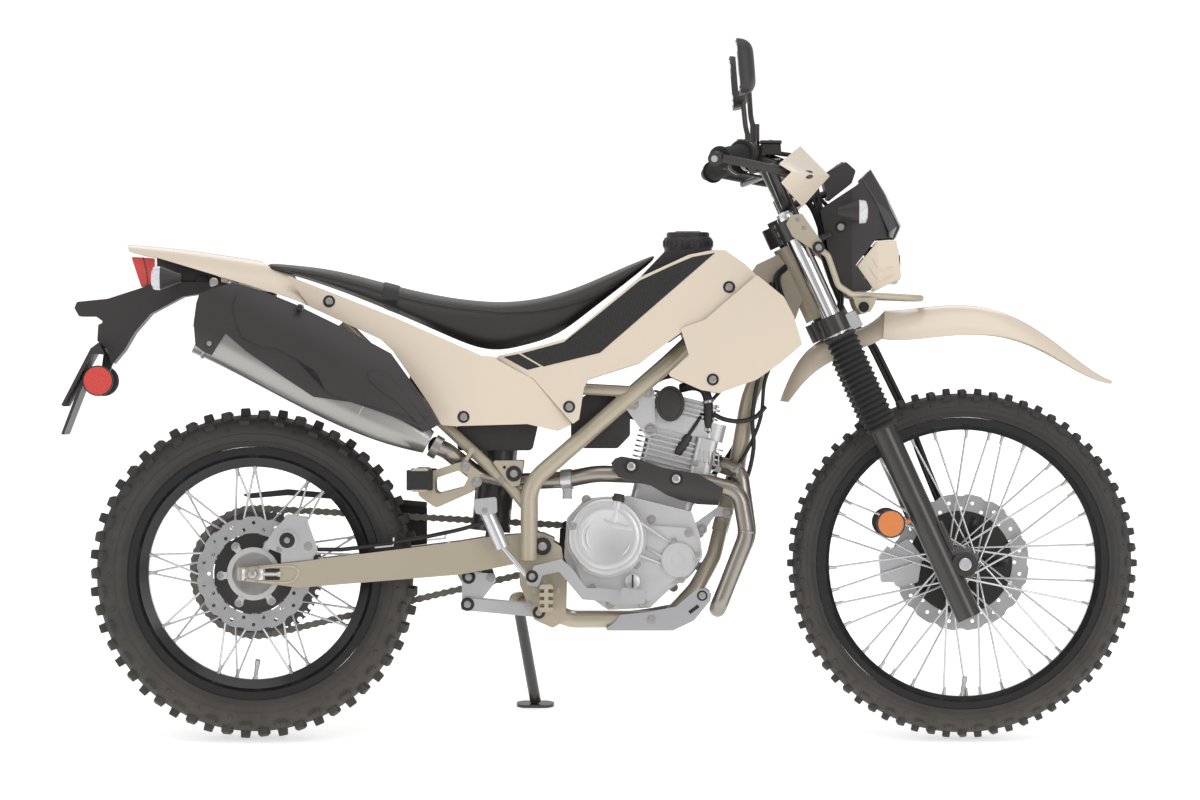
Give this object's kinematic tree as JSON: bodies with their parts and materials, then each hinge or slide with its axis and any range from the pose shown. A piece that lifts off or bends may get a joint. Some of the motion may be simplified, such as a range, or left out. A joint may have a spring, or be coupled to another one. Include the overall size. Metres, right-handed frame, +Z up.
{
  "type": "dual sport motorcycle",
  "caption": "Single-cylinder dual sport motorcycle with knobbly tyres, wire wheels, hand guards and a high exhaust, parked on its side stand.",
  "frame": {"origin": "centre of the bounding box's bottom face, on the floor", "axes": "+X forward, +Y to the rider's left, +Z up; the machine leans 10 degrees to its left on its side stand"},
  "size_m": [2.0718, 0.8632, 1.3804],
  "materials": {
    "sand_frame": "satin sand paint",
    "dark_swingarm": "dark painted alloy",
    "spring_steel": "painted coil spring",
    "bare_aluminium": "cast and brushed",
    "chain_steel": "oiled",
    "black_plastic": "fine grain",
    "engine_alloy": "cast, silver painted",
    "pipe_steel": "heat tinted",
    "black_muffler": "matte black",
    "sand_plastic": "moulded in colour",
    "black_tank": "satin black",
    "seat_cover": "grained seat vinyl",
    "red_lens": "red lens",
    "signal_body": "amber lens on a black body",
    "peg_steel": "black with rubber",
    "black_steel": "satin black",
    "hose_rubber": "matte",
    "fork_chrome": "hard chrome",
    "boot_rubber": "matte",
    "black_alloy": "satin black castings",
    "amber_lens": "amber reflector",
    "grip_rubber": "ribbed",
    "mirror_black": "fine grain",
    "lamp_glass": "clear lamp lens",
    "tyre_rubber": "knobbly tread",
    "rim_alloy": "polished",
    "rim_black": "black anodised",
    "spoke_steel": "plated",
    "hub_alloy": "painted alloy",
    "disc_steel": "ground stainless",
    "sprocket_steel": "dark steel"
  },
  "bodies": {
    "chassis": {"frame": "sand_frame", "swingarm": "dark_swingarm", "shock": "spring_steel", "linkage": "bare_aluminium", "chain": "chain_steel", "chain_guard": "black_plastic", "engine_case": "engine_alloy", "cylinder": "engine_alloy", "header_pipe": "pipe_steel", "silencer": "black_muffler", "exhaust_guards": "black_plastic", "air_box": "black_plastic", "skid_plate": "black_plastic", "shrouds": "sand_plastic", "side_covers": "sand_plastic", "fuel_tank": "black_tank", "seat": "seat_cover", "rear_fender": "sand_plastic", "plate_carrier": "black_plastic", "tail_lamps": "red_lens", "rear_signals": "signal_body", "footpegs": "peg_steel", "rear_brake_control": "black_steel", "rear_caliper": "bare_aluminium", "rear_brake_hose": "hose_rubber", "shift_lever": "black_steel"},
    "side_stand": {"side_stand": "black_steel"},
    "front_end": {"fork_clamps": "black_steel", "fork_tubes": "fork_chrome", "fork_boots": "boot_rubber", "fork_sliders": "black_alloy", "front_fender": "sand_plastic", "front_caliper": "bare_aluminium", "front_reflectors": "amber_lens", "handlebar": "black_steel", "bar_controls": "grip_rubber", "hand_guards": "bare_aluminium", "guard_shells": "sand_plastic", "mirrors": "mirror_black", "meter": "black_plastic", "headlamp_cowl": "sand_plastic", "headlamp_bezel": "black_plastic", "headlamp": "lamp_glass", "front_signals": "signal_body", "guard_bar": "black_steel", "brake_hoses": "hose_rubber"},
    "front_wheel": {"front_tyre": "tyre_rubber", "front_rim": "rim_alloy", "front_spokes": "spoke_steel", "front_hub": "hub_alloy", "front_disc": "disc_steel"},
    "rear_wheel": {"rear_tyre": "tyre_rubber", "rear_rim": "rim_black", "rear_spokes": "spoke_steel", "rear_hub": "hub_alloy", "rear_disc": "disc_steel", "rear_sprocket": "sprocket_steel"}
  },
  "joints": [
    {"name": "steering", "type": "hinge", "parent": "chassis", "child": "front_end", "pos_m": [0.39048, -0.04178, 0.86992], "axis": [-0.4163, 0.1579, 0.8954], "range_deg": [-42, 42]},
    {"name": "front_wheel_spin", "type": "hinge", "parent": "front_end", "child": "front_wheel", "pos_m": [0.69786, -0.136, 0.33561], "axis": [0, 0.9848, -0.1736], "continuous": true},
    {"name": "rear_wheel_spin", "type": "hinge", "parent": "chassis", "child": "rear_wheel", "pos_m": [-0.66714, -0.13938, 0.31641], "axis": [0, 0.9848, -0.1736], "continuous": true},
    {"name": "side_stand_swing", "type": "hinge", "parent": "chassis", "child": "side_stand", "pos_m": [-0.16214, -0.02322, 0.23805], "axis": [-0.3728, 0.9278, 0.0123], "range_deg": [0, 90.9]}
  ]
}
